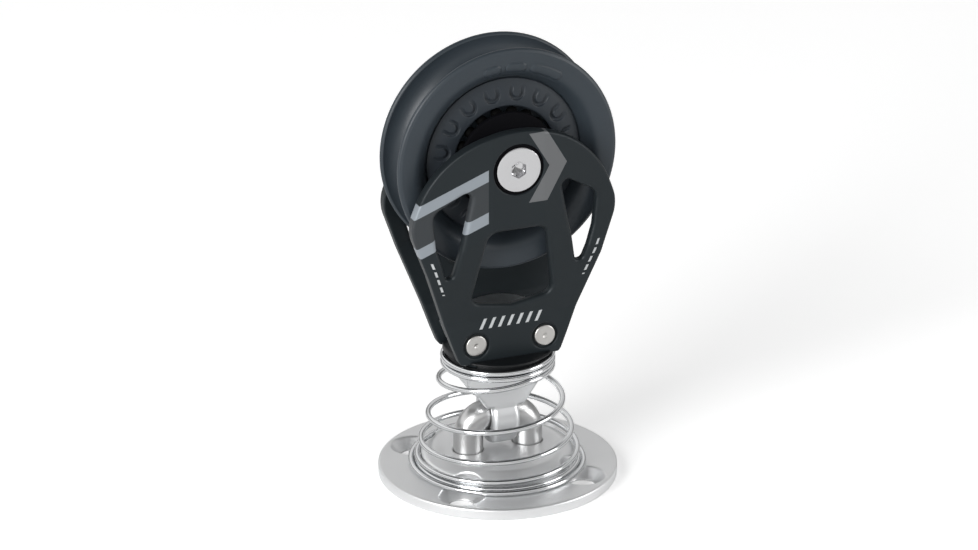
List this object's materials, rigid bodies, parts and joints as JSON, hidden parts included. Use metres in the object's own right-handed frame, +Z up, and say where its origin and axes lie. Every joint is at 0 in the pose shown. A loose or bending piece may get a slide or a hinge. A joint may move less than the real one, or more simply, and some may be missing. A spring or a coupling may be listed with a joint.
{
  "type": "stand-up block",
  "caption": "Single sheave block that a conical spring holds upright over a round deck plate with a padeye.",
  "frame": {"origin": "centre of the underside of the deck plate", "axes": "+Z up from the deck, Y along the sheave's axis, X across the block, along the padeye's crossbar"},
  "size_m": [0.083, 0.083, 0.16],
  "materials": {
    "stainless": "satin, electropolished",
    "polished_steel": "polished",
    "spring_steel": "polished round wire",
    "anodised": "dark grey hard anodised, satin",
    "black_plastic": "moulded, matt",
    "bearing_composite": "woven liner, matt",
    "ball_plastic": "smooth"
  },
  "bodies": {
    "deck_fitting": {"base_plate": "stainless", "padeye": "stainless"},
    "spring_link": {"spring": "spring_steel"},
    "block": {"head": "stainless", "front_cheek": "anodised", "rear_cheek": "anodised", "left_rivet": "stainless", "right_rivet": "stainless", "hub_post": "stainless", "front_screw": "polished_steel", "rear_screw": "polished_steel", "front_screw_ring": "black_plastic", "rear_screw_ring": "black_plastic", "front_thrust_washer": "black_plastic", "rear_thrust_washer": "black_plastic", "spring_seat": "black_plastic"},
    "sheave_wheel": {"sheave": "black_plastic", "sleeve_bearing": "bearing_composite", "front_balls": "ball_plastic", "rear_balls": "ball_plastic", "front_race": "black_plastic", "rear_race": "black_plastic"}
  },
  "joints": [
    {"name": "nod", "type": "hinge", "parent": "deck_fitting", "child": "spring_link", "pos_m": [0, 0, 0.0224], "axis": [1, 0, 0], "range_deg": [-25, 25], "stiffness_Nm_per_rad": 3, "deforming": ["spring"]},
    {"name": "lean", "type": "hinge", "parent": "spring_link", "child": "block", "pos_m": [0, 0, 0.0146], "axis": [0, 1, 0], "range_deg": [-15, 15], "stiffness_Nm_per_rad": 3, "deforming": ["spring"]},
    {"name": "sheave_spin", "type": "hinge", "parent": "block", "child": "sheave_wheel", "pos_m": [0, 0, 0.12], "axis": [0, 1, 0], "continuous": true}
  ]
}
